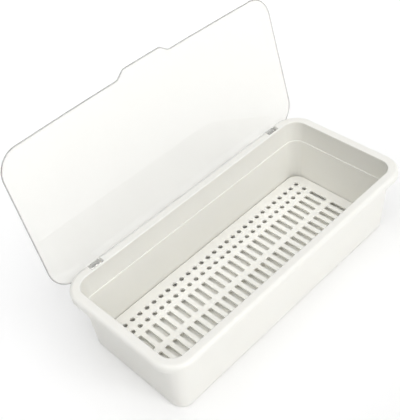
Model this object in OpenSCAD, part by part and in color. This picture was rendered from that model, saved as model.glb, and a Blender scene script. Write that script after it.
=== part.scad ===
// Chopstick holder: a long open tub, a clear lid that flips up on two moulded hinges,
// and a loose drain tray on the tub's floor.
// Millimetres, +Z up. X runs along the tub, +Y is the hinge side.
// The origin is the middle of the tub's flat base. The lid is drawn standing open.

/* [Tub] */
// Length over the rim
tub_length = 285; // [270:1:300]
// Depth over the rim, front to back
tub_depth = 128; // [126:1:136]
// Height from the base to the top of the rim
tub_height = 68.5; // [62:0.5:76]
// Corner radius of the rim seen from above
rim_corner = 21.8; // [20.5:0.1:26]
// Width of the flat rim, from its outer edge to the opening
rim_width = 9; // [8.8:0.1:9.6]
// How far the rim stands out from the wall below it
rim_overhang = 7.2; // [7.1:0.1:7.4]
// Radius of the rim's rounded outer edge
rim_edge = 3.5; // [3.3:0.1:3.8]
// Height of the turned-down edge of the rim
skirt_height = 6.5; // [6.2:0.1:8]
// How much narrower each wall is at the base than under the rim
wall_taper = 3.75; // [2:0.25:4.5]
// Depth of the small inner ledge below the rim
ledge_depth = 21.2; // [15:0.2:28]
// Thickness of the floor
floor_thick = 2; // [1.6:0.1:2.6]
// Radius of the rounded edge round the base
base_edge = 3; // [1:0.25:4]

/* [Lid] */
// Thickness of the clear lid
lid_thick = 1.2; // [1:0.1:1.6]
// How far the lid passes the rim at each end
lid_side = 1.2; // [0.4:0.1:2]
// Corner radius of the lid
lid_corner = 20.3; // [16:0.1:24]
// Distance from the hinge line to the front edge, measured at the corners
lid_reach = 122.1; // [120:0.1:123]
// How much the front edge bows out at the middle
lid_bow = 1.65; // [0.8:0.05:2.4]
// How far the finger tab stands out from the front edge
tab_reach = 5.6; // [4:0.1:8]
// Half width of the finger tab where it leaves the lid
tab_half = 27.5; // [20:0.5:34]
// Angle through which the lid opens
open_angle = 104.3; // [90:0.1:104.5]

/* [Hinge] */
// Distance of each hinge from the middle of the tub
hinge_x = 107.1; // [90:0.1:112]
// Width of the gap in the rim at each hinge
hinge_gap = 12.8; // [12.4:0.1:14]
// Radius of the round pins at the two ends of a hinge
pin_r = 1.3; // [1.1:0.05:1.4]

/* [Drain tray] */
// Height of the tray's top above the tub's base
tray_top = 7.1; // [6:0.1:10]
// Thickness of the tray
tray_thick = 1.8; // [1.4:0.1:2.2]
// Distance from one row of holes to the next along the tray
hole_pitch = 8.3; // [8:0.1:8.4]
// Number of rows to each side of the middle row
hole_rows = 14; // [8:1:14]
// Diameter of the round holes
hole_d = 4.3; // [3:0.1:5]
// Width of the long slots
slot_width = 4; // [3:0.1:4.8]
// Length of the long slots
slot_length = 18.3; // [14:0.1:18.4]

/* [Hidden] */
$fn = 96;

// Corner axes of the tub's wall and rim
ax = tub_length / 2 - rim_corner;
ay = tub_depth / 2 - rim_corner;

// Distances from a corner axis to the tub's faces
skirt_z = tub_height - skirt_height;
skirt_thick = 1.8;
flange_thick = 2;
taper = wall_taper / skirt_z;
wall_r = rim_corner - rim_overhang;
base_r = wall_r - wall_taper;
open_r = rim_corner - rim_width;
ledge_z = tub_height - ledge_depth;
ledge_top_r = base_r + taper * ledge_z - 1.7;
ledge_low_r = ledge_top_r - 0.8;
floor_r = ledge_low_r - taper * (ledge_z - floor_thick);
flange_z = tub_height - flange_thick;

// Hinge line
lid_gap = 0.3;
pivot_y = tub_depth / 2 - 3.5;
pivot_z = tub_height - 4.05;
pin_end = 7.6;
bore_end = 7.9;
bore_r = pin_r + 0.06;
knuckle_half = 5.9;
knuckle_r = 2.2;
cheek_thick = 2.2;

// Lid outline in its closed position
lid_half = tub_length / 2 + lid_side;
lid_back = pivot_y + 3.2;
lid_front = pivot_y - lid_reach;
lid_low = tub_height + lid_gap;
bow_half = lid_half - lid_corner - 3;
bow_r = (bow_half * bow_half + lid_bow * lid_bow) / (2 * lid_bow);
tab_y = lid_front - lid_bow - tab_reach;
tab_tip = tab_half - 8;
tab_root = tab_half + 1;
tab_root_y = lid_front - lid_bow * 0.9 + 1;

// Drain tray outline
tray_gap = 0.65;
tray_half_x = ax + floor_r + taper * (tray_top - floor_thick) - tray_gap;
tray_half_y = ay + floor_r + taper * (tray_top - floor_thick) - tray_gap;
tray_corner = 12.5;
tray_mid = 4;
tray_ax = tray_half_x - tray_corner;
tray_ay = tray_half_y - tray_corner;
tray_low = tray_top - tray_thick;
tray_rim_low = floor_thick + 0.9;
hole_y_out = 38.5;
hole_y_in = 28.7;
slot_y = 12.1;
foot_y = 23.9;
foot_r = 2;

// Working out one rounded corner b between the neighbours a and c
function unit(v) = v / norm(v);
function left(v) = [-v[1], v[0]];
function bend(a, b, c) = cross(b - a, c - b);
function swing(a, b, c) = acos(unit(b - a) * unit(c - b));
function cut(a, b, c, r) = r * tan(swing(a, b, c) / 2);
function first(a, b, c, r) = b - unit(b - a) * cut(a, b, c, r);
function last(a, b, c, r) = b + unit(c - b) * cut(a, b, c, r);
function side(a, b, c) = bend(a, b, c) > 0 ? 1 : -1;
function mid(a, b, c, r) = first(a, b, c, r) + left(unit(b - a)) * r * side(a, b, c);
function root(a, b, c, r) = 0.45 * (first(a, b, c, r) + last(a, b, c, r)) + 0.1 * mid(a, b, c, r);
function prev(p, i) = p[(i + len(p) - 1) % len(p)];
function next(p, i) = p[(i + 1) % len(p)];
function ends(a, b, c, r) = (r > 0 && bend(a, b, c) > 0) ? [first(a, b, c, r), last(a, b, c, r)] : [b];

// An outline whose corners are rounded with one radius each, corners listed anticlockwise
module soft_outline(p, r) {
    polygon([for (i = [0 : len(p) - 1]) each ends(prev(p, i), p[i], next(p, i), r[i])]);
    for (i = [0 : len(p) - 1]) {
        if (r[i] > 0) {
            soft_corner(prev(p, i), p[i], next(p, i), r[i]);
        }
    }
}

// The cap that rounds an outer corner, or the fillet that fills an inner one. Each
// reaches only a little way into the outline, so it stays inside thin walls.
module soft_corner(a, b, c, r) {
    m = mid(a, b, c, r);
    if (bend(a, b, c) > 0) {
        intersection() {
            polygon([first(a, b, c, r), b, last(a, b, c, r), root(a, b, c, r)]);
            translate(m) circle(r);
        }
    } else {
        difference() {
            polygon([first(a, b, c, r), b + (b - m) * 0.2, last(a, b, c, r), m]);
            translate(m) circle(r);
        }
    }
}

// A section carried round a rounded rectangle whose corner axes are at (x, y)
module carried(x, y) {
    for (s = [0, 1]) {
        rotate([0, 0, 180 * s]) {
            translate([x, y, 0]) rotate_extrude(angle = 90) children();
            translate([-x, y, 0]) rotate([0, 0, 90]) rotate_extrude(angle = 90) children();
            translate([x, y, 0]) rotate([90, 0, 0]) linear_extrude(2 * y) children();
            translate([-x, y, 0]) rotate([90, 0, 90]) linear_extrude(2 * x) children();
        }
    }
}

// Section through the tub's floor, wall and rim, from a corner axis outwards
module tub_section() {
    top_r = wall_r + taper * (flange_z - skirt_z);
    soft_outline(
        [
            [0, 0],
            [base_r, 0],
            [top_r, flange_z],
            [rim_corner - skirt_thick, flange_z],
            [rim_corner - skirt_thick, skirt_z],
            [rim_corner, skirt_z],
            [rim_corner, tub_height],
            [open_r, tub_height],
            [ledge_top_r, ledge_z],
            [ledge_low_r, ledge_z],
            [floor_r, floor_thick],
            [0, floor_thick]
        ],
        [0, base_edge, 0.6, 1.5, 0.3, 0.4, rim_edge, 0.9, 0.2, 0.5, 1, 0]
    );
}

// The cheeks under the rim that carry the pins of one hinge
module hinge_cheeks() {
    half = hinge_gap / 2;
    for (s = [-1, 1]) {
        translate([s * (half + cheek_thick / 2), pivot_y - 0.6, pivot_z - 0.35]) {
            cube([cheek_thick, 6.2, 5.2], center = true);
        }
    }
}

// The gap in the rim at one hinge and the blind holes for the two pins
module hinge_cut() {
    half = hinge_gap / 2;
    back = pivot_y - 3.7;
    translate([-half, back, skirt_z - 3]) cube([hinge_gap, 20, skirt_height + 10]);
    translate([-bore_end, pivot_y, pivot_z]) rotate([0, 90, 0]) cylinder(h = 2 * bore_end, r = bore_r);
}

// One ivory moulding: floor, four leaning walls, inner ledge, rim and hinge cheeks
module tub() {
    color([0.965, 0.957, 0.925]) {
        difference() {
            union() {
                carried(ax, ay) tub_section();
                translate([-ax, -ay, 0]) cube([2 * ax, 2 * ay, floor_thick]);
                for (s = [-1, 1]) {
                    translate([s * hinge_x, 0, 0]) hinge_cheeks();
                }
            }
            for (s = [-1, 1]) {
                translate([s * hinge_x, 0, 0]) hinge_cut();
            }
        }
    }
}

// Outline of the lid seen from above, closed
module lid_outline() {
    soft_outline(
        [
            [-lid_half, lid_front],
            [lid_half, lid_front],
            [lid_half, lid_back],
            [-lid_half, lid_back]
        ],
        [lid_corner, lid_corner, lid_corner, lid_corner]
    );
    intersection() {
        translate([0, lid_front - lid_bow + bow_r]) circle(bow_r, $fn = 3600);
        translate([-bow_half - 1.5, lid_front - 10]) square([2 * bow_half + 3, 20]);
    }
    soft_outline(
        [
            [-tab_root, lid_front + 5],
            [-tab_root, tab_root_y],
            [-tab_tip, tab_y],
            [tab_tip, tab_y],
            [tab_root, tab_root_y],
            [tab_root, lid_front + 5]
        ],
        [0, 0, 4, 4, 0, 0]
    );
}

// The knuckle and the two pins of one hinge, moulded in one with the lid
module lid_hinge() {
    translate([-knuckle_half, pivot_y, pivot_z]) {
        rotate([90, 0, 90]) {
            linear_extrude(2 * knuckle_half) {
                circle(knuckle_r);
                translate([-knuckle_r, 0]) square([2 * knuckle_r, lid_low - pivot_z + 0.4]);
            }
        }
    }
    for (s = [-1, 1]) {
        translate([s > 0 ? knuckle_half - 0.3 : -pin_end, pivot_y, pivot_z]) {
            rotate([0, 90, 0]) cylinder(h = pin_end - knuckle_half + 0.3, r = pin_r);
        }
    }
}

// The clear lid in its closed position
module lid_closed() {
    translate([0, 0, lid_low]) linear_extrude(lid_thick) lid_outline();
    for (s = [-1, 1]) {
        translate([s * hinge_x, 0, 0]) lid_hinge();
    }
}

// The clear lid flipped open about its pins
module lid() {
    color([0.97, 0.97, 0.95, 0.35]) {
        translate([0, pivot_y, pivot_z]) {
            rotate([-open_angle, 0, 0]) {
                translate([0, -pivot_y, -pivot_z]) lid_closed();
            }
        }
    }
}

// Section through the tray's rounded, turned-down edge
module tray_section() {
    soft_outline(
        [
            [tray_mid, tray_low],
            [tray_corner - 1.6, tray_low],
            [tray_corner - 1.6, tray_rim_low],
            [tray_corner, tray_rim_low],
            [tray_corner, tray_top],
            [tray_mid, tray_top]
        ],
        [0, 0.6, 0.3, 0.3, 0.9, 0]
    );
}

// One long drain slot with slightly rounded ends
module drain_slot() {
    r = 1;
    square([slot_width - 2 * r, slot_length], center = true);
    square([slot_width, slot_length - 2 * r], center = true);
    for (x = [-1, 1]) {
        for (y = [-1, 1]) {
            translate([x * (slot_width / 2 - r), y * (slot_length / 2 - r)]) circle(r);
        }
    }
}

// One row of holes and slots across the tray
module drain_row() {
    for (s = [-1, 1]) {
        translate([0, s * hole_y_out]) circle(hole_d / 2);
        translate([0, s * hole_y_in]) circle(hole_d / 2);
        translate([0, s * slot_y]) drain_slot();
    }
}

// The pierced middle of the tray
module tray_plate() {
    hx = tray_ax + tray_mid;
    hy = tray_ay + tray_mid;
    difference() {
        soft_outline(
            [[-hx, -hy], [hx, -hy], [hx, hy], [-hx, hy]],
            [tray_mid, tray_mid, tray_mid, tray_mid]
        );
        for (i = [-hole_rows : hole_rows]) {
            translate([i * hole_pitch, 0]) drain_row();
        }
    }
}

// One ivory moulding: a pierced plate on a short edge and six low feet
module drain_tray() {
    color([0.965, 0.957, 0.925]) {
        carried(tray_ax, tray_ay) tray_section();
        translate([0, 0, tray_low]) linear_extrude(tray_thick) tray_plate();
        for (x = [-12, 0, 12]) {
            for (y = [-1, 1]) {
                translate([x * hole_pitch, y * foot_y, floor_thick]) {
                    cylinder(h = tray_low - floor_thick + 0.5, r = foot_r);
                }
            }
        }
    }
}

tub();
lid();
drain_tray();
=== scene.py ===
import logging
import math
from dataclasses import dataclass
from enum import Enum

import bmesh
import bpy
import numpy as np
from mathutils import Matrix, Vector


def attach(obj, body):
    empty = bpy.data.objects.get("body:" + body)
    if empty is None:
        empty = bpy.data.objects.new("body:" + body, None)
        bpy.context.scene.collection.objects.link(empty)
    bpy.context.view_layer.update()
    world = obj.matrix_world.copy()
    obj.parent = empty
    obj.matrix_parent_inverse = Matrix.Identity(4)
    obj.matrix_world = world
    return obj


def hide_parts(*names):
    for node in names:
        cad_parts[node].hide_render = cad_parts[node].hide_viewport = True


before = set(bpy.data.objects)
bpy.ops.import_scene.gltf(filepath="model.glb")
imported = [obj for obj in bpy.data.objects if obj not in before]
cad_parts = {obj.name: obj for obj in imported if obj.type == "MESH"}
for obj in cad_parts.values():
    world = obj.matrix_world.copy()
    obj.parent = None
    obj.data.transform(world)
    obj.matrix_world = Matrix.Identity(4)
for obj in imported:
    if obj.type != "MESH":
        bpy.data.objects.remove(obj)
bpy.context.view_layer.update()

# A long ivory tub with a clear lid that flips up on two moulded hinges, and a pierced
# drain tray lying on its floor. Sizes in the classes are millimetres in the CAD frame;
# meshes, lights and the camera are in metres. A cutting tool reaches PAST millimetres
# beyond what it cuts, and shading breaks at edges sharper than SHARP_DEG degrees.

LOG = logging.getLogger("chopstick_holder")
MM = 0.001
MERGE = 2e-6
PAST = 3.0
SHARP_DEG = 38.0
PHOTO_WIDTH, PHOTO_HEIGHT = 400, 420


class Body(Enum):
    """The CAD bodies that pieces ride on."""

    TUB = "tub"
    LID = "lid"
    TRAY = "tray"


class Node(Enum):
    """The CAD nodes, which share their names with the record's material slots."""

    TUB = "tub"
    LID = "lid"
    TRAY = "drain_tray"


class Cut(Enum):
    """What a solid does to the piece it is put against."""

    ADD = "UNION"
    TAKE = "DIFFERENCE"


# Outlines and surfaces


def unit(v: np.ndarray) -> np.ndarray:
    """Each row of v divided by its own length."""
    return v / np.linalg.norm(v, axis=-1, keepdims=True)


def turned_left(v: np.ndarray) -> np.ndarray:
    """Each plane vector turned a quarter turn anticlockwise."""
    return np.stack([-v[..., 1], v[..., 0]], axis=-1)


def rounded_loop(corners: np.ndarray, radii: np.ndarray, steps: int) -> tuple[np.ndarray, np.ndarray]:
    """Rounds the corners of a closed outline with arcs that meet its sides smoothly.

    At a corner with turning angle a and radius r the arc starts r tan(a/2) before the
    corner and its centre lies r to the side of the turn. Point t of the arc is the start
    swung about that centre by a*t. The edge value is sin(pi t) on outer corners: nothing
    where the arc meets the flat, one at its crest.

    Args:
        corners: Corner points, anticlockwise, shape (n, 2).
        radii: One radius per corner; nothing is rounded where it is 0.
        steps: Segments per arc.

    Returns:
        Points of shape (n, steps + 1, 2) and the edge value of each, (n, steps + 1).
    """
    arrive = unit(corners - np.roll(corners, 1, axis=0))
    leave = unit(np.roll(corners, -1, axis=0) - corners)
    cross = arrive[:, 0] * leave[:, 1] - arrive[:, 1] * leave[:, 0]
    angle = np.arctan2(cross, (arrive * leave).sum(axis=1))
    start = corners - arrive * (radii * np.tan(np.abs(angle) / 2))[:, None]
    arm = -turned_left(arrive) * (radii * np.sign(angle))[:, None]
    t = np.linspace(0.0, 1.0, steps + 1)
    swing = angle[:, None] * t
    cos, sin = np.cos(swing), np.sin(swing)
    swung = np.stack(
        [
            cos * arm[:, :1] - sin * arm[:, 1:],
            sin * arm[:, :1] + cos * arm[:, 1:],
        ],
        axis=-1,
    )
    edge = np.sin(np.pi * t) * ((angle > 0) & (radii > 0))[:, None]
    return (start - arm)[:, None, :] + swung, edge


def without_repeats(loop: np.ndarray) -> np.ndarray:
    """A closed outline less the points that repeat the one before them."""
    gap = np.linalg.norm(loop - np.roll(loop, 1, axis=0), axis=1)
    return loop[gap > 1e-6]


@dataclass(frozen=True)
class Track:
    """A closed path round a rounded rectangle, as corner axes and outward directions."""

    centre: np.ndarray
    outward: np.ndarray

    @staticmethod
    def around(half_x: float, half_y: float, arc: int, run_x: int, run_y: int) -> "Track":
        """A track whose corners turn about the points (+-half_x, +-half_y).

        In quadrant q the direction swings from q to q + 1 quarter turns while the centre
        stays on its corner axis; then the centre slides to the next axis and the
        direction holds still.

        Args:
            half_x: Distance of the corner axes from the middle along X.
            half_y: The same along Y.
            arc: Segments in each corner.
            run_x: Segments along each side parallel to X.
            run_y: Segments along each side parallel to Y.

        Returns:
            The track, anticlockwise from the +X direction.
        """
        axes = np.array([[half_x, half_y], [-half_x, half_y], [-half_x, -half_y], [half_x, -half_y]])
        centres, angles = [], []
        for q, run in enumerate((run_x, run_y, run_x, run_y)):
            slide = np.linspace(0.0, 1.0, run + 1)[1:-1, None]
            centres += [np.repeat(axes[q : q + 1], arc + 1, axis=0)]
            centres += [axes[q] + (axes[(q + 1) % 4] - axes[q]) * slide]
            angles += [np.linspace(q, q + 1, arc + 1), np.full(run - 1, q + 1.0)]
        turn = np.concatenate(angles) * math.pi / 2
        return Track(np.concatenate(centres), np.stack([np.cos(turn), np.sin(turn)], axis=1))

    def carry(self, section: np.ndarray) -> np.ndarray:
        """The surface that a section sweeps: centre + outward times r, at height z.

        Args:
            section: Points (r, z) of the section, shape (n, 2).

        Returns:
            Grid of points, shape (stations, n, 3).
        """
        flat = self.centre[:, None, :] + self.outward[:, None, :] * section[None, :, :1]
        z = np.broadcast_to(section[None, :, 1:], flat.shape[:2] + (1,))
        return np.concatenate([flat, z], axis=-1)


def clean(mesh: bpy.types.Mesh) -> int:
    """Merges what lies together and turns the faces outwards.

    Args:
        mesh: The mesh, changed in place.

    Returns:
        How many edges don't join exactly two faces.
    """
    bm = bmesh.new()
    bm.from_mesh(mesh)
    bmesh.ops.remove_doubles(bm, verts=bm.verts, dist=MERGE)
    bmesh.ops.dissolve_degenerate(bm, edges=bm.edges, dist=MERGE)
    bmesh.ops.recalc_face_normals(bm, faces=bm.faces)
    open_edges = sum(1 for e in bm.edges if len(e.link_faces) != 2)
    bm.to_mesh(mesh)
    bm.free()
    return open_edges


class Shell:
    """Grids and caps gathered into one mesh, in millimetres."""

    def __init__(self) -> None:
        """Starts with nothing in it."""
        self._points: list[np.ndarray] = []
        self._edges: list[np.ndarray] = []
        self._faces: list[list[int]] = []
        self._count = 0

    def _take(self, points: np.ndarray, edge: np.ndarray | float) -> int:
        """Stores points.

        Args:
            points: Points of any leading shape, (..., 3).
            edge: Edge value per point, or one for all.

        Returns:
            The index of the first of them.
        """
        flat = points.reshape(-1, 3)
        first = self._count
        self._points.append(flat)
        self._edges.append(np.broadcast_to(edge, points.shape[:-1]).reshape(-1))
        self._count += len(flat)
        return first

    def grid(
        self,
        points: np.ndarray,
        wrap_u: bool = False,
        wrap_v: bool = False,
        edge: np.ndarray | float = 0.0,
    ) -> None:
        """Adds one quad between each four neighbours of each grid.

        Args:
            points: Shape (..., u, v, 3); leading dimensions are separate grids.
            wrap_u: Whether the last row joins the first.
            wrap_v: Whether the last column joins the first.
            edge: Edge value per point, or one for all.
        """
        if points.ndim == 3:
            points = points[None]
        first = self._take(points, edge)
        sets, rows, cols = points.shape[:3]
        u = np.arange(rows if wrap_u else rows - 1)
        v = np.arange(cols if wrap_v else cols - 1)
        uu, vv = np.meshgrid(u, v, indexing="ij")
        u2, v2 = (uu + 1) % rows, (vv + 1) % cols
        quad = np.stack([uu * cols + vv, u2 * cols + vv, u2 * cols + v2, uu * cols + v2], axis=-1)
        base = first + np.arange(sets)[:, None, None] * rows * cols
        self._faces += (quad.reshape(1, -1, 4) + base).reshape(-1, 4).tolist()

    def cap(self, loop: np.ndarray) -> None:
        """Adds one flat face inside a closed loop of points, shape (n, 3)."""
        first = self._take(loop, 0.0)
        self._faces.append(list(range(first, first + len(loop))))

    def prism(self, loop: np.ndarray, low: float, high: float, soft: float = 0.0) -> None:
        """Adds a closed bar along X whose section is a convex loop in Y and Z.

        Towards each end the section shrinks about its middle by soft over a length soft,
        which breaks the sharp end corner.

        Args:
            loop: Section points (y, z), anticlockwise, shape (n, 2).
            low: X of the first end.
            high: X of the last end.
            soft: Size of the broken corner.
        """
        middle = loop.mean(axis=0)
        reach = np.linalg.norm(loop - middle, axis=1).max()
        small = middle + (loop - middle) * (1 - soft / reach)
        if soft > 0:
            rings = [(low, small), (low + soft, loop), (high - soft, loop), (high, small)]
        else:
            rings = [(low, loop), (high, loop)]
        grid = np.stack([np.column_stack([np.full(len(s), x), s]) for x, s in rings])
        self.grid(grid, wrap_v=True)
        self.cap(grid[0])
        self.cap(grid[-1])

    def piece(self, name: str, place: Matrix | None = None) -> bpy.types.Object:
        """Makes the mesh: points merged, faces turned outwards, edge values kept.

        Args:
            name: Name of the piece.
            place: Where the points go, in millimetres, before they become metres.

        Returns:
            The new object, at the origin.
        """
        points = np.concatenate(self._points)
        if place is not None:
            m = np.array(place)
            points = points @ m[:3, :3].T + m[:3, 3]
        mesh = bpy.data.meshes.new(name)
        mesh.from_pydata((points * MM).tolist(), [], self._faces)
        # The edge value marks worn crests on the ivory and the painted dark edge shade on the clear lid.
        wear_and_edge_shade = mesh.attributes.new("edge", "FLOAT", "POINT")
        wear_and_edge_shade.data.foreach_set("value", np.concatenate(self._edges).astype(np.float32))
        clean(mesh)
        obj = bpy.data.objects.new(name, mesh)
        bpy.context.scene.collection.objects.link(obj)
        return obj


def circle(radius: float, count: int, centre: tuple[float, float] = (0.0, 0.0)) -> np.ndarray:
    """Points of a circle: centre + radius times (cos a, sin a) at equal steps of a."""
    a = np.arange(count) * 2 * math.pi / count
    return np.array(centre) + radius * np.stack([np.cos(a), np.sin(a)], axis=1)


def combine(target: bpy.types.Object, tool: bpy.types.Object, how: Cut) -> None:
    """Adds the tool's solid to the target or takes it away, and deletes the tool.

    Args:
        target: The piece that is kept.
        tool: The solid used on it.
        how: Whether it is added or taken away.
    """
    step = target.modifiers.new("combine", "BOOLEAN")
    step.operation = how.value
    step.solver = "EXACT"
    step.object = tool
    graph = bpy.context.evaluated_depsgraph_get()
    made = bpy.data.meshes.new_from_object(target.evaluated_get(graph))
    target.modifiers.clear()
    old, target.data = target.data, made
    made.name = target.name
    bpy.data.meshes.remove(old)
    bpy.data.objects.remove(tool)


def shade(obj: bpy.types.Object) -> None:
    """Smooth shading that breaks at sharp edges, with flats kept flat.

    Args:
        obj: The piece to shade.
    """
    obj.data.shade_smooth()
    obj.data.set_sharp_from_angle(angle=math.radians(SHARP_DEG))
    weigh = obj.modifiers.new("flats", "WEIGHTED_NORMAL")
    weigh.keep_sharp = True
    weigh.weight = 90


# Finishes


class Graph:
    """A short way to place and join shader nodes in one tree."""

    def __init__(self, tree: bpy.types.NodeTree) -> None:
        """Works on the given tree."""
        self.tree = tree

    def add(self, kind: str, **values: object) -> bpy.types.Node:
        """Adds a node; values name its inputs, with _ for a space, or its properties.

        Args:
            kind: The node's type name.
            **values: Numbers to set, sockets to join, or properties of the node.

        Returns:
            The new node.
        """
        node = self.tree.nodes.new(kind)
        for key, value in values.items():
            if hasattr(node, key):
                setattr(node, key, value)
        for key, value in values.items():
            if hasattr(node, key):
                continue
            name = key.replace("_", " ")
            socket = next((s for s in node.inputs if s.name == name and s.enabled), None)
            if socket is None:
                raise KeyError(f"{kind} has no input {name}")
            self.put(value, socket)
        return node

    def put(self, value: object, socket: bpy.types.NodeSocket) -> None:
        """Joins an output socket to an input, or sets the input to a plain value.

        Args:
            value: The output socket or the plain value.
            socket: The input.
        """
        if isinstance(value, bpy.types.NodeSocket):
            self.tree.links.new(value, socket)
        else:
            socket.default_value = value

    def math(self, operation: str, a: object, b: object = 0.0, c: object = 0.0) -> bpy.types.NodeSocket:
        """Adds one arithmetic step.

        Args:
            operation: The step's type name.
            a: Its first value, a socket or a number.
            b: Its second value.
            c: Its third value, for steps that take one.

        Returns:
            The socket that gives its result.
        """
        node = self.tree.nodes.new("ShaderNodeMath")
        node.operation = operation
        for value, socket in zip((a, b, c), node.inputs):
            self.put(value, socket)
        return node.outputs[0]

    def mix(self, factor: object, a: object, b: object) -> bpy.types.NodeSocket:
        """Mixes two colours.

        Args:
            factor: How much of the second, a socket or a number.
            a: The colour where factor is 0.
            b: The colour where factor is 1.

        Returns:
            The socket that gives the mixed colour.
        """
        node = self.tree.nodes.new("ShaderNodeMix")
        node.data_type = "RGBA"
        self.put(factor, node.inputs[0])
        self.put(a, node.inputs[6])
        self.put(b, node.inputs[7])
        return node.outputs[2]


def socket(
    tree: bpy.types.NodeTree, name: str, way: str, start: float | None = None, kind: str = "Float"
) -> None:
    """Gives a node group one named socket.

    Args:
        tree: The group.
        name: The socket's name.
        way: INPUT or OUTPUT.
        start: Its first value, for an input.
        kind: Float, Vector or Color.
    """
    made = tree.interface.new_socket(name, in_out=way, socket_type="NodeSocket" + kind)
    if start is not None:
        made.default_value = start


def empty_material(name: str) -> tuple[bpy.types.Material, Graph]:
    """Starts a material.

    Args:
        name: The material's name.

    Returns:
        The material, with no nodes yet, and the graph to build them with.
    """
    mat = bpy.data.materials.new(name)
    mat.use_nodes = True
    mat.node_tree.nodes.clear()
    return mat, Graph(mat.node_tree)


@dataclass(frozen=True)
class MouldGrain:
    """The skin that a steel mould leaves: fine grain, faint flow clouds, and a crest mask that gives worn
    crests on ivory and painted edge shade on clear plastic.
    """

    name: str = "mould_grain"

    def group(self) -> bpy.types.NodeTree:
        """Makes the group once.

        Height is a fine noise for the sparked grain plus a broad one for the slight
        waviness of a cooled wall. Cloud is a slow noise round 0.5. Crest is the mesh's
        edge value broken up by the fine noise.

        Returns:
            The group, with inputs Grain, Wave and Cloud Size and outputs Height, Cloud
            and Crest.
        """
        found = bpy.data.node_groups.get(self.name)
        if found:
            return found
        tree = bpy.data.node_groups.new(self.name, "ShaderNodeTree")
        for name, start in (("Grain", 0.5), ("Wave", 0.5), ("Cloud Size", 18.0)):
            socket(tree, name, "INPUT", start)
        for name in ("Height", "Cloud", "Crest"):
            socket(tree, name, "OUTPUT")
        g = Graph(tree)
        ask, give = g.add("NodeGroupInput"), g.add("NodeGroupOutput")
        where = g.add("ShaderNodeTexCoord").outputs["Object"]
        fine = g.add("ShaderNodeTexNoise", Vector=where, Scale=2600.0, Detail=2.0, Roughness=0.6)
        wave = g.add("ShaderNodeTexNoise", Vector=where, Scale=26.0, Detail=1.0, Roughness=0.4)
        cloud = g.add(
            "ShaderNodeTexNoise", Vector=where, Scale=ask.outputs["Cloud Size"], Detail=4.0, Roughness=0.55
        )
        edge = g.add("ShaderNodeAttribute", attribute_name="edge").outputs["Fac"]
        grain = g.math("MULTIPLY", fine.outputs[0], ask.outputs["Grain"])
        height = g.math("MULTIPLY_ADD", wave.outputs[0], ask.outputs["Wave"], grain)
        broken = g.math("MULTIPLY_ADD", cloud.outputs[0], 0.5, 0.6)
        g.put(height, give.inputs["Height"])
        g.put(cloud.outputs[0], give.inputs["Cloud"])
        g.put(g.math("MULTIPLY", edge, broken), give.inputs["Crest"])
        return tree

    def placed(self, g: Graph, grain: float, wave: float, cloud_size: float) -> bpy.types.Node:
        """Places the group in a material with its own values.

        Args:
            g: The material's graph.
            grain: Height of the fine grain.
            wave: Height of the slow waviness.
            cloud_size: Scale of the clouds.

        Returns:
            The group's node.
        """
        node = g.add("ShaderNodeGroup", node_tree=self.group())
        node.inputs["Grain"].default_value = grain
        node.inputs["Wave"].default_value = wave
        node.inputs["Cloud Size"].default_value = cloud_size
        return node


@dataclass(frozen=True)
class IvoryPlastic:
    """Satin ivory-white moulded plastic, a little lighter and smoother on worn crests."""

    name: str
    body: tuple[float, float, float] = (0.886, 0.878, 0.834)
    cloud: tuple[float, float, float] = (0.871, 0.863, 0.817)
    crest: tuple[float, float, float] = (0.905, 0.900, 0.865)
    rough: float = 0.42
    grain: float = 0.5
    wave: float = 2.0
    cloud_size: float = 22.0
    depth: float = 0.15
    depth_m: float = 0.0015

    def material(self) -> bpy.types.Material:
        """Makes the material.

        Returns:
            The material, read in Object coordinates.
        """
        mat, g = empty_material(self.name)
        skin = MouldGrain().placed(g, self.grain, self.wave, self.cloud_size)
        veil = g.math("MULTIPLY_ADD", skin.outputs["Cloud"], 1.6, -0.4)
        colour = g.mix(veil, (*self.body, 1.0), (*self.cloud, 1.0))
        colour = g.mix(g.math("MULTIPLY", skin.outputs["Crest"], 0.5), colour, (*self.crest, 1.0))
        rough = g.math("MULTIPLY_ADD", skin.outputs["Cloud"], 0.10, self.rough - 0.05)
        rough = g.math("MULTIPLY_ADD", skin.outputs["Crest"], -0.08, rough)
        bump = g.add("ShaderNodeBump", Strength=0.12, Distance=0.0002, Height=skin.outputs["Height"])
        shader = g.add(
            "ShaderNodeBsdfPrincipled",
            Base_Color=colour,
            Roughness=rough,
            IOR=1.49,
            Subsurface_Weight=self.depth,
            Subsurface_Radius=(1.0, 0.95, 0.85),
            Subsurface_Scale=self.depth_m,
            Normal=bump.outputs[0],
        )
        out = g.add("ShaderNodeOutputMaterial")
        g.put(shader.outputs[0], out.inputs["Surface"])
        return mat


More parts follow.
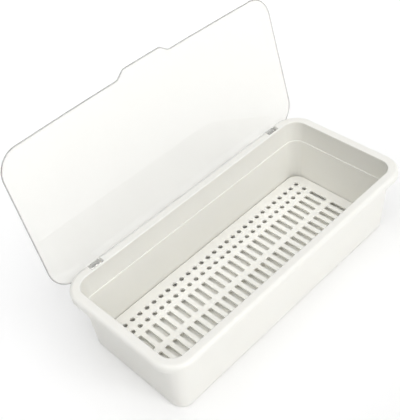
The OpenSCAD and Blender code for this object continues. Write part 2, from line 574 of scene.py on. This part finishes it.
@dataclass(frozen=True)
class ClearPlastic:
    """Clear polished sheet with a faint ivory cast, and painted shade: dark grey painted on its rounded
    edges.
    """

    name: str
    sheet: tuple[float, float, float] = (0.985, 0.981, 0.953)
    # Painted shade: the dark grey painted on the lid's rounded edges, standing in for the dark lines that
    # refraction draws at a clear edge.
    rim: tuple[float, float, float] = (0.30, 0.30, 0.29)
    clear: float = 0.78
    grain: float = 0.02
    wave: float = 1.0
    cloud_size: float = 9.0

    def material(self) -> bpy.types.Material:
        """Makes the material.

        Returns:
            The material, read in Object coordinates.
        """
        mat, g = empty_material(self.name)
        skin = MouldGrain().placed(g, self.grain, self.wave, self.cloud_size)
        # Painted shade: the crest mask blends the sheet towards the dark grey rim colour on the rounded
        # edges.
        colour = g.mix(skin.outputs["Crest"], (*self.sheet, 1.0), (*self.rim, 1.0))
        rough = g.math("MULTIPLY_ADD", skin.outputs["Cloud"], 0.06, 0.01)
        bump = g.add("ShaderNodeBump", Strength=0.05, Distance=0.0002, Height=skin.outputs["Height"])
        shader = g.add(
            "ShaderNodeBsdfPrincipled",
            Base_Color=colour,
            Roughness=rough,
            IOR=1.49,
            Transmission_Weight=self.clear,
            Normal=bump.outputs[0],
        )
        out = g.add("ShaderNodeOutputMaterial")
        g.put(shader.outputs[0], out.inputs["Surface"])
        return mat


def finish(obj: bpy.types.Object, material: bpy.types.Material, body: Body, node: Node) -> None:
    """Cleans and shades a piece, gives it its material and ties it to the CAD.

    Args:
        obj: The piece, its shape complete.
        material: Its finish.
        body: The CAD body it rides on.
        node: The CAD node it replaces, which it hides.
    """
    open_edges = clean(obj.data)
    if open_edges:
        LOG.warning("%s has %d edges without two faces", obj.name, open_edges)
    shade(obj)
    obj.data.materials.clear()
    obj.data.materials.append(material)
    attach(obj, body.value)
    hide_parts(node.value)
    LOG.info("%s: %d faces, rides on %s", obj.name, len(obj.data.polygons), body.value)


# The pieces


@dataclass(frozen=True)
class Hinge:
    """Sizes that the tub's and the lid's halves of a hinge share, in millimetres."""

    offset: float = 107.1
    gap: float = 12.8
    pivot_y: float = 60.5
    pivot_z: float = 64.45
    pin_r: float = 1.3
    pin_end: float = 7.6
    bore_r: float = 1.36
    bore_end: float = 7.9
    knuckle_half: float = 5.9
    knuckle_r: float = 2.2
    cheek: float = 2.2
    cheek_front: float = 3.7
    cheek_back: float = 2.5
    cheek_down: float = 2.95
    cheek_up: float = 2.25

    @property
    def places(self) -> tuple[float, float]:
        """X of the two hinges."""
        return (-self.offset, self.offset)


@dataclass(frozen=True)
class Tub:
    """The ivory moulding: floor, leaning walls, ledge, rolled rim, hinge cheeks."""

    hinge: Hinge = Hinge()
    length: float = 285.0
    depth: float = 128.0
    height: float = 68.5
    corner: float = 21.8
    rim_width: float = 9.0
    overhang: float = 7.2
    rim_edge: float = 3.5
    skirt: float = 6.5
    skirt_thick: float = 1.8
    flange_thick: float = 2.0
    taper: float = 3.75
    wall: float = 1.7
    wall_step: float = 0.8
    gap_run: float = 20.0
    ledge: float = 21.2
    floor: float = 2.0
    base_edge: float = 3.0

    @property
    def axes(self) -> tuple[float, float]:
        """Where the corner axes stand, in X and Y."""
        return self.length / 2 - self.corner, self.depth / 2 - self.corner

    def section(self) -> tuple[np.ndarray, np.ndarray]:
        """Corners and radii of the section from a corner axis outwards.

        Each wall leans by taper over the height below the skirt; it is wall thick above
        the ledge and wall_step more below it.

        Returns:
            Corners (r, z) of shape (12, 2) and their radii.
        """
        skirt_z = self.height - self.skirt
        slope = self.taper / skirt_z
        outer = self.corner - self.overhang
        base = outer - self.taper
        ledge_z = self.height - self.ledge
        upper = base + slope * ledge_z - self.wall
        lower = upper - self.wall_step
        foot = lower - slope * (ledge_z - self.floor)
        flange_z = self.height - self.flange_thick
        inner = self.corner - self.skirt_thick
        corners = [
            (0, 0, 0),
            (base, 0, self.base_edge),
            (outer + slope * (flange_z - skirt_z), flange_z, 0.6),
            (inner, flange_z, 1.5),
            (inner, skirt_z, 0.3),
            (self.corner, skirt_z, 0.4),
            (self.corner, self.height, self.rim_edge),
            (self.corner - self.rim_width, self.height, 0.9),
            (upper, ledge_z, 0.2),
            (lower, ledge_z, 0.5),
            (foot, self.floor, 1.0),
            (0, self.floor, 0),
        ]
        table = np.array(corners, float)
        return table[:, :2], table[:, 2]

    def shell(self) -> Shell:
        """The tub without its hinges: the section carried round, and the floor's middle.

        Returns:
            The closed shell.
        """
        corners, radii = self.section()
        points, edge = rounded_loop(corners, radii, 6)
        section, edge = points.reshape(-1, 2), edge.reshape(-1)
        half_x, half_y = self.axes
        track = Track.around(half_x, half_y, 20, 36, 14)
        made = Shell()
        swept = track.carry(section)
        made.grid(swept, wrap_u=True, edge=np.broadcast_to(edge, swept.shape[:2]))
        x, y = np.meshgrid(np.linspace(-half_x, half_x, 37), np.linspace(-half_y, half_y, 15), indexing="ij")
        for z in (0.0, self.floor):
            made.grid(np.stack([x, y, np.full_like(x, z)], axis=-1))
        return made

    def cheeks(self) -> Shell:
        """The blocks under the rim that hold the pins, two at each hinge.

        Returns:
            The blocks as one tool.
        """
        h, made = self.hinge, Shell()
        y0, y1 = h.pivot_y - h.cheek_front, h.pivot_y + h.cheek_back
        z0, z1 = h.pivot_z - h.cheek_down, h.pivot_z + h.cheek_up
        loop = np.array([(y0, z0), (y1, z0), (y1, z1), (y0, z1)])
        for x in h.places:
            for side in (-1, 1):
                a, b = x + side * h.gap / 2, x + side * (h.gap / 2 + h.cheek)
                made.prism(loop, min(a, b), max(a, b))
        return made

    def gaps(self) -> Shell:
        """The gaps cut through the rim behind each hinge.

        Returns:
            The gaps as one tool.
        """
        h, made = self.hinge, Shell()
        y0, z0, z1 = h.pivot_y - h.cheek_front, self.height - self.skirt - PAST, self.height + PAST
        y1 = y0 + self.gap_run
        loop = np.array([(y0, z0), (y1, z0), (y1, z1), (y0, z1)])
        for x in h.places:
            made.prism(loop, x - h.gap / 2, x + h.gap / 2)
        return made

    def bores(self) -> Shell:
        """The blind holes for the pins, as one rod through both cheeks.

        Returns:
            The rods of both hinges as one tool.
        """
        h, made = self.hinge, Shell()
        for x in h.places:
            made.prism(circle(h.bore_r, 32, (h.pivot_y, h.pivot_z)), x - h.bore_end, x + h.bore_end)
        return made

    def build(self) -> bpy.types.Object:
        """Builds and finishes the tub.

        Returns:
            The finished piece.
        """
        obj = self.shell().piece("tub_moulding")
        combine(obj, self.cheeks().piece("cheek_tool"), Cut.ADD)
        combine(obj, self.gaps().piece("gap_tool"), Cut.TAKE)
        combine(obj, self.bores().piece("bore_tool"), Cut.TAKE)
        finish(obj, IvoryPlastic("ivory_tub").material(), Body.TUB, Node.TUB)
        return obj


@dataclass(frozen=True)
class Lid:
    """The clear lid with its finger tab and the moving halves of both hinges."""

    hinge: Hinge = Hinge()
    tub: Tub = Tub()
    thick: float = 1.2
    side: float = 1.2
    corner: float = 20.3
    reach: float = 122.1
    bow: float = 1.65
    tab_reach: float = 5.6
    tab_half: float = 27.5
    tab_slope: float = 8.0
    tab_root_r: float = 4.0
    tab_tip_r: float = 4.5
    back: float = 3.2
    rest_gap: float = 0.3
    edge_r: float = 0.4
    edge_band: float = 1.2
    sink: float = 0.4
    open_deg: float = 104.3

    @property
    def low(self) -> float:
        """Height of the closed lid's underside."""
        return self.tub.height + self.rest_gap

    def outline(self) -> np.ndarray:
        """The closed lid seen from above.

        Four rounded corners; the front edge is an arc that bows out by bow at the
        middle, y = front - bow (1 - (x / half)^2), and the tab is a trapezium on it
        with soft tips and roots.

        Returns:
            Anticlockwise outline, shape (n, 2).
        """
        half = self.tub.length / 2 + self.side
        back = self.hinge.pivot_y + self.back
        front = self.hinge.pivot_y - self.reach
        bow_half = half - self.corner - 3
        tab_y = front - self.bow - self.tab_reach
        root, tip = self.tab_half, self.tab_half - self.tab_slope
        root_r, tip_r = self.tab_root_r, self.tab_tip_r

        def arc(x: np.ndarray) -> np.ndarray:
            """Points of the bowed front edge at x, with no rounding of their own."""
            y = front - self.bow * (1 - (x / bow_half) ** 2)
            return np.column_stack([x, y, np.zeros_like(x)])

        run = np.linspace(-bow_half, -root - 5, 24)
        root_y = arc(np.array([root]))[0, 1]
        table = np.vstack(
            [
                [(half, back, self.corner), (-half, back, self.corner), (-half, front, self.corner)],
                arc(run),
                [(-root, root_y, root_r), (-tip, tab_y, tip_r)],
                [(tip, tab_y, tip_r), (root, root_y, root_r)],
                arc(-run[::-1]),
                [(half, front, self.corner)],
            ]
        )
        points, _ = rounded_loop(table[:, :2], table[:, 2], 14)
        return without_repeats(points.reshape(-1, 2))

    def sheet(self) -> Shell:
        """The flat sheet: the outline drawn in along its own inward normal at the rounded
        edges, with flat faces above and below.

        The inset is r(1 - cos a) and the height r(1 - sin a) for a from 0 to a quarter
        turn, once at the underside and once at the top.

        Returns:
            The closed shell, in its closed position.
        """
        line = self.outline()
        along = unit(np.roll(line, -1, axis=0) - np.roll(line, 1, axis=0))
        inward = turned_left(along)
        a = np.linspace(math.pi / 2, 0.0, 5)
        inset = self.edge_r * np.concatenate([1 - np.cos(a), (1 - np.cos(a))[::-1]])
        rise = self.edge_r * (1 - np.sin(a))
        z = self.low + np.concatenate([rise, self.thick - rise[::-1]])
        flat = line[None] + inward[None] * inset[:, None, None]
        rings = np.concatenate([flat, np.broadcast_to(z[:, None, None], flat.shape[:2] + (1,))], axis=-1)
        inner = line + inward * self.edge_band
        made = Shell()
        # Edge value 1 on the rounded edge, where the clear material paints its dark edge shade.
        made.grid(rings, wrap_v=True, edge=1.0)
        for ring, level in ((rings[0], z[0]), (rings[-1], z[-1])):
            flush = np.column_stack([inner, np.full(len(inner), level)])
            made.grid(np.stack([ring, flush]), wrap_v=True, edge=np.array([[1.0], [0.0]]))
            made.cap(flush)
        return made

    def knuckles(self, x: float) -> list[Shell]:
        """The knuckle and both pins of the hinge at x, as solids to be joined.

        The knuckle's section is a half circle about the pin line under a square block
        that runs up into the sheet; its ends and the pins' ends are broken a little.

        Args:
            x: X of the hinge's middle.

        Returns:
            The knuckle and its two pins.
        """
        h = self.hinge
        top = self.low + self.sink
        a = np.linspace(math.pi, 2 * math.pi, 25)
        block = np.column_stack([h.pivot_y + h.knuckle_r * np.cos(a), h.pivot_z + h.knuckle_r * np.sin(a)])
        block = np.vstack([block, [(h.pivot_y + h.knuckle_r, top), (h.pivot_y - h.knuckle_r, top)]])
        pin = circle(h.pin_r, 32, (h.pivot_y, h.pivot_z))
        parts = []
        for loop, low, high, soft in (
            (block, -h.knuckle_half, h.knuckle_half, 0.25),
            (pin, -h.pin_end, -h.knuckle_half + 0.5, 0.2),
            (pin, h.knuckle_half - 0.5, h.pin_end, 0.2),
        ):
            shell = Shell()
            shell.prism(loop, x + low, x + high, soft)
            parts.append(shell)
        return parts

    def opened(self) -> Matrix:
        """The turn about the pins that flips the closed lid open.

        Returns:
            The turn, in millimetres.
        """
        pivot = Vector((0.0, self.hinge.pivot_y, self.hinge.pivot_z))
        turn = Matrix.Rotation(-math.radians(self.open_deg), 4, "X")
        return Matrix.Translation(pivot) @ turn @ Matrix.Translation(-pivot)

    def build(self) -> bpy.types.Object:
        """Builds and finishes the lid, standing open.

        Returns:
            The finished piece.
        """
        place = self.opened()
        obj = self.sheet().piece("lid_clear", place)
        for x in self.hinge.places:
            for part in self.knuckles(x):
                combine(obj, part.piece("knuckle_tool", place), Cut.ADD)
        finish(obj, ClearPlastic("clear_lid").material(), Body.LID, Node.LID)
        obj.visible_shadow = False
        obj.visible_diffuse = False
        return obj


@dataclass(frozen=True)
class DrainTray:
    """The pierced tray on the tub's floor."""

    half_x: float = 128.83
    half_y: float = 50.33
    corner: float = 12.5
    top: float = 7.1
    thick: float = 1.8
    rim_low: float = 2.9
    floor: float = 2.0
    pitch: float = 8.3
    rows: int = 14
    hole_r: float = 2.15
    slot_x: float = 2.0
    slot_y: float = 9.15
    slot_r: float = 1.0
    break_edge: float = 0.35
    mid_break: float = 0.29
    skirt_thick: float = 1.6
    guard: float = 6.0
    bands: tuple[float, ...] = (0.0, 23.9, 33.6, 43.4)
    hole_y: tuple[float, ...] = (28.7, 38.5)
    slot_mid: float = 12.1
    across: int = 6
    foot_y: float = 23.9
    foot_r: float = 2.0
    foot_edge: float = 0.3
    foot_sink: float = 0.4
    foot_cells: tuple[int, ...] = (-12, 0, 12)

    def boundary(self, half_x: float, half_y: float, n_x: int, n_y: int) -> np.ndarray:
        """A rectangle's outline at even steps, anticlockwise from its lower right corner.

        Args:
            half_x: Half its width.
            half_y: Half its height.
            n_x: Segments on each side parallel to X.
            n_y: Segments on each side parallel to Y.

        Returns:
            Points of shape (2 n_x + 2 n_y, 2).
        """
        tx = np.linspace(1, -1, n_x + 1)[:-1]
        ty = np.linspace(-1, 1, n_y + 1)[:-1]
        right = np.column_stack([np.full(n_y, half_x), ty * half_y])
        upper = np.column_stack([tx * half_x, np.full(n_x, half_y)])
        return np.vstack([right, upper, -right, -upper])

    def round_hole(self, radius: float) -> np.ndarray:
        """A circle with one point per boundary point, a quarter turn per side of the cell."""
        a = (np.arange(4 * self.across) / self.across - 0.5) * math.pi / 2
        return radius * np.stack([np.cos(a), np.sin(a)], axis=1)

    def long_slot(self, grow: float) -> np.ndarray:
        """A slot's outline, grown by grow, matched to its cell's boundary points.

        Each side runs from the middle of one corner's arc to the middle of the next:
        two arc segments, even steps along the straight, two arc segments.

        Args:
            grow: How far the outline lies outside the slot's own.

        Returns:
            One point for each of the cell's boundary points, shape (n, 2).
        """
        r, hx, hy = self.slot_r + grow, self.slot_x + grow, self.slot_y + grow
        bend = np.linspace(0.0, math.pi / 4, 3)

        def side(reach: float, run: float, count: int) -> np.ndarray:
            """One side, facing +X, without its last point.

            Args:
                reach: Its distance from the middle.
                run: How far the slot reaches along it, either way.
                count: How many points it gets.

            Returns:
                Points (x, y), shape (count, 2).
            """
            low = np.column_stack([reach - r + r * np.cos(bend[::-1]), -(run - r) - r * np.sin(bend[::-1])])
            high = low[::-1] * [1, -1]
            steps = np.linspace(-(run - r), run - r, count - 3)[1:-1]
            middle = np.column_stack([np.full(len(steps), reach), steps])
            return np.vstack([low, middle, high])[:-1]

        right = side(hx, hy, 2 * self.across)
        upper = turned_left(side(hy, hx, self.across))
        return np.vstack([right, upper, -right, -upper])

    def cells(
        self, made: Shell, x: np.ndarray, y: float, outer: np.ndarray, cut: list[np.ndarray], hole_y: float
    ) -> None:
        """Adds one pierced cell at each x: flat top, rounded lip, wall, flat underside.

        Args:
            made: The shell that takes them.
            x: Middles of the cells along X.
            y: Middle of the cells along Y.
            outer: The cell's boundary round its own middle.
            cut: The hole's outline at the top of the lip, halfway down it and below it.
            hole_y: The hole's middle along Y.
        """
        b, low = self.break_edge, self.top - self.thick
        rings = [
            (outer, y, self.top, 0.0),
            (cut[0], hole_y, self.top, 0.3),
            (cut[1], hole_y, self.top - b * self.mid_break, 1.0),
            (cut[2], hole_y, self.top - b, 0.3),
            (cut[2], hole_y, low, 0.0),
            (outer, y, low, 0.0),
        ]
        flat = np.stack(
            [np.column_stack([p[:, 0], p[:, 1] + mid, np.full(len(p), z)]) for p, mid, z, _ in rings]
        )
        many = np.repeat(flat[None], len(x), axis=0)
        many[..., 0] += x[:, None, None]
        edge = np.array([e for *_, e in rings])[None, :, None]
        made.grid(many, wrap_v=True, edge=np.broadcast_to(edge, many.shape[:3]))

    def rim(self, made: Shell, frame_loop: np.ndarray) -> None:
        """Adds the plain border and turned-down edge round the pierced field.

        Each boundary point p has the corner axis c nearest to it; the direction is
        straight out beside the field's sides and swings through a quarter turn where p
        passes the axis. The section is then carried along as c + direction times r.

        Args:
            made: The shell that takes it.
            frame_loop: Boundary of the pierced field, shape (n, 2).
        """
        low = self.top - self.thick
        r = self.corner
        inner = r - self.skirt_thick
        corners = np.array([(inner, low), (inner, self.rim_low), (r, self.rim_low), (r, self.top)])
        guard = np.array([(r - self.guard, low), (r - self.guard, self.top)])
        loop = np.vstack([guard[:1], corners, guard[1:]])
        points, edge = rounded_loop(loop, np.array([0, 0.6, 0.3, 0.3, 0.9, 0]), 5)
        section, edge = points[1:-1].reshape(-1, 2)[::-1], edge[1:-1].reshape(-1)[::-1]
        axis = np.array([self.half_x - r, self.half_y - r])
        centre = np.clip(frame_loop, -axis, axis)
        past = (frame_loop - centre) / (np.abs(frame_loop).max(axis=0) - axis)
        track = Track(centre, unit(past))
        swept = track.carry(section)
        level = np.ones(len(frame_loop))
        first = np.column_stack([frame_loop, level * self.top])[:, None]
        last = np.column_stack([frame_loop, level * low])[:, None]
        grid = np.concatenate([first, swept, last], axis=1)
        edge = np.concatenate([[0.0], edge, [0.0]])
        made.grid(grid, wrap_u=True, edge=np.broadcast_to(edge, grid.shape[:2]))

    def feet(self, made: Shell) -> None:
        """Adds six low feet, each a turned profile closed at its axis.

        Args:
            made: The shell that takes them.
        """
        low = self.top - self.thick
        r, soft, high = self.foot_r, self.foot_edge, low + self.foot_sink
        profile = np.array(
            [(0, self.floor), (r - soft, self.floor), (r, self.floor + soft), (r, high), (0, high)]
        )
        spin = circle(1.0, 24)
        for x in self.foot_cells:
            for y in (-self.foot_y, self.foot_y):
                ring = spin[:, None, :] * profile[None, :, :1] + np.array([x * self.pitch, y])
                z = np.broadcast_to(profile[None, :, 1:], ring.shape[:2] + (1,))
                made.grid(np.concatenate([ring, z], axis=-1), wrap_u=True)

    def shell(self) -> Shell:
        """The whole tray: rows of pierced cells, the rim round them and the feet.

        Returns:
            The shell.
        """
        made = Shell()
        n, b = self.across, self.break_edge
        x = np.arange(-self.rows, self.rows + 1) * self.pitch
        half = self.pitch / 2
        hole = [self.round_hole(self.hole_r + g) for g in (b, b * self.mid_break, 0.0)]
        slot = [self.long_slot(g) for g in (b, b * self.mid_break, 0.0)]
        for sign in (-1, 1):
            for low, high, mid in zip(self.bands[1:], self.bands[2:], self.hole_y):
                outer = self.boundary(half, (high - low) / 2, n, n)
                self.cells(made, x, sign * (low + high) / 2, outer, hole, sign * mid)
            outer = self.boundary(half, self.bands[1] / 2, n, 2 * n)
            self.cells(made, x, sign * self.bands[1] / 2, outer, slot, sign * self.slot_mid)
        fx = np.linspace(-1, 1, n * len(x) + 1) * (half + self.rows * self.pitch)
        steps = [np.linspace(a, c, k * n + 1)[1:] for a, c, k in zip(self.bands, self.bands[1:], (2, 1, 1))]
        fy = np.concatenate([[0.0], *steps])
        fy = np.concatenate([-fy[:0:-1], fy])
        right = np.column_stack([np.full(len(fy), fx[-1]), fy])[:-1]
        upper = np.column_stack([fx[::-1], np.full(len(fx), fy[-1])])[:-1]
        self.rim(made, np.vstack([right, upper, -right, -upper]))
        self.feet(made)
        return made

    def build(self) -> bpy.types.Object:
        """Builds and finishes the tray.

        Returns:
            The finished piece.
        """
        obj = self.shell().piece("drain_tray_moulding")
        ivory = IvoryPlastic("ivory_tray", body=(0.925, 0.916, 0.868), cloud=(0.910, 0.900, 0.850))
        finish(obj, ivory.material(), Body.TRAY, Node.TRAY)
        return obj


# The studio and the camera


@dataclass(frozen=True)
class SoftBox:
    """One large square area light, in metres and watts."""

    name: str
    place: tuple[float, float, float]
    target: tuple[float, float, float]
    size: float
    power: float
    spread_deg: float = 180.0

    def build(self) -> None:
        """Hangs the light facing its target; its panel itself stays out of the picture."""
        data = bpy.data.lights.new(self.name, "AREA")
        data.shape = "SQUARE"
        data.size = self.size
        data.energy = self.power
        data.spread = math.radians(self.spread_deg)
        obj = bpy.data.objects.new(self.name, data)
        obj.location = self.place
        aim = Vector(self.target) - Vector(self.place)
        obj.rotation_euler = aim.to_track_quat("-Z", "Y").to_euler()
        obj.visible_camera = False
        bpy.context.scene.collection.objects.link(obj)


@dataclass(frozen=True)
class Overhead:
    """One wide, even light from straight above that reaches all of the floor alike."""

    name: str = "overhead"
    strength: float = 1.75
    width_deg: float = 90.0

    def build(self) -> None:
        """Hangs the light, which points straight down as it is made."""
        data = bpy.data.lights.new(self.name, "SUN")
        data.energy = self.strength
        data.angle = math.radians(self.width_deg)
        obj = bpy.data.objects.new(self.name, data)
        bpy.context.scene.collection.objects.link(obj)


@dataclass(frozen=True)
class Studio:
    """A plain pale floor, a white surround, one even overhead light and soft boxes."""

    sky: float = 1.0
    overhead: Overhead = Overhead()
    floor_half: float = 6.0
    floor_colour: tuple[float, float, float] = (0.98, 0.98, 0.98)
    boxes: tuple[SoftBox, ...] = (
        SoftBox("front", (0.0, -1.65, 0.95), (0.0, 0.0, 0.05), 1.4, 20.0),
        SoftBox("left", (-1.22, 0.0, 1.46), (0.0, 0.0, 0.05), 1.3, 4.0),
        SoftBox("floor_back", (0.05, 0.95, 1.1), (0.05, 0.95, 0.0), 1.2, 2.6, 60.0),
        SoftBox("floor_right", (0.85, 0.25, 1.1), (0.85, 0.25, 0.0), 1.0, 1.5, 60.0),
        SoftBox("floor_left", (-0.85, 0.45, 1.1), (-0.85, 0.45, 0.0), 1.0, 1.5, 60.0),
    )

    def floor(self) -> bpy.types.Object:
        """Lays the matt floor.

        Returns:
            The floor.
        """
        h = self.floor_half
        mesh = bpy.data.meshes.new("floor")
        mesh.from_pydata([(-h, -h, 0), (h, -h, 0), (h, h, 0), (-h, h, 0)], [], [(0, 1, 2, 3)])
        floor = bpy.data.objects.new("floor", mesh)
        bpy.context.scene.collection.objects.link(floor)
        mat = bpy.data.materials.new("pale_floor")
        mat.use_nodes = True
        shader = mat.node_tree.nodes["Principled BSDF"]
        shader.inputs["Base Color"].default_value = (*self.floor_colour, 1.0)
        shader.inputs["Roughness"].default_value = 0.9
        shader.inputs["Specular IOR Level"].default_value = 0.0
        mesh.materials.append(mat)
        return floor

    def build(self) -> None:
        """Lays the floor, sets the sky and hangs the boxes."""
        self.floor()
        world = bpy.data.worlds.new("studio_sky")
        world.use_nodes = True
        back = world.node_tree.nodes["Background"]
        back.inputs["Color"].default_value = (1.0, 1.0, 1.0, 1.0)
        back.inputs["Strength"].default_value = self.sky
        world.cycles_visibility.diffuse = False
        bpy.context.scene.world = world
        self.overhead.build()
        for box in self.boxes:
            box.build()
        view = bpy.context.scene.view_settings
        view.view_transform = "Standard"
        view.look = "None"
        LOG.info("studio: %d soft boxes, sky %.2f", len(self.boxes), self.sky)


@dataclass(frozen=True)
class PhotoCamera:
    """The camera worked out from the photograph: turn and place of the world before it.

    A world point p, in millimetres, lies at turn(p) + shift in the camera's own axes,
    right, down and forwards.
    """

    turn: tuple[float, float, float] = (2.145334, -0.953884, 0.287909)
    shift: tuple[float, float, float] = (40.810892, 59.602227, 657.35038)
    focal_px: float = 748.084563
    sensor_mm: float = 36.0

    def build(self) -> bpy.types.Object:
        """Places the camera: its axes are the turn's rows, right, up and backwards.

        Returns:
            The camera, made the scene's own.
        """
        spin = Vector(self.turn)
        turn = Matrix.Rotation(spin.length, 3, spin.normalized())
        place = -(turn.transposed() @ Vector(self.shift)) * MM
        axes = turn.transposed() @ Matrix.Diagonal((1.0, -1.0, -1.0))
        data = bpy.data.cameras.new("photo_camera")
        data.sensor_fit = "AUTO"
        data.sensor_width = self.sensor_mm
        data.lens = self.focal_px * self.sensor_mm / max(PHOTO_WIDTH, PHOTO_HEIGHT)
        data.clip_start, data.clip_end = 0.01, 50.0
        cam = bpy.data.objects.new("photo_camera", data)
        cam.matrix_world = Matrix.Translation(place) @ axes.to_4x4()
        bpy.context.scene.collection.objects.link(cam)
        bpy.context.scene.camera = cam
        return cam


def main() -> None:
    """Builds the camera, the studio and the pieces in order, and logs each piece's name."""
    logging.basicConfig(level=logging.INFO, format="%(message)s")
    PhotoCamera().build()
    Studio().build()
    for part in (Tub(), Lid(), DrainTray()):
        piece = part.build()
        LOG.info("built %s", piece.name)


if __name__ == "__main__":
    main()
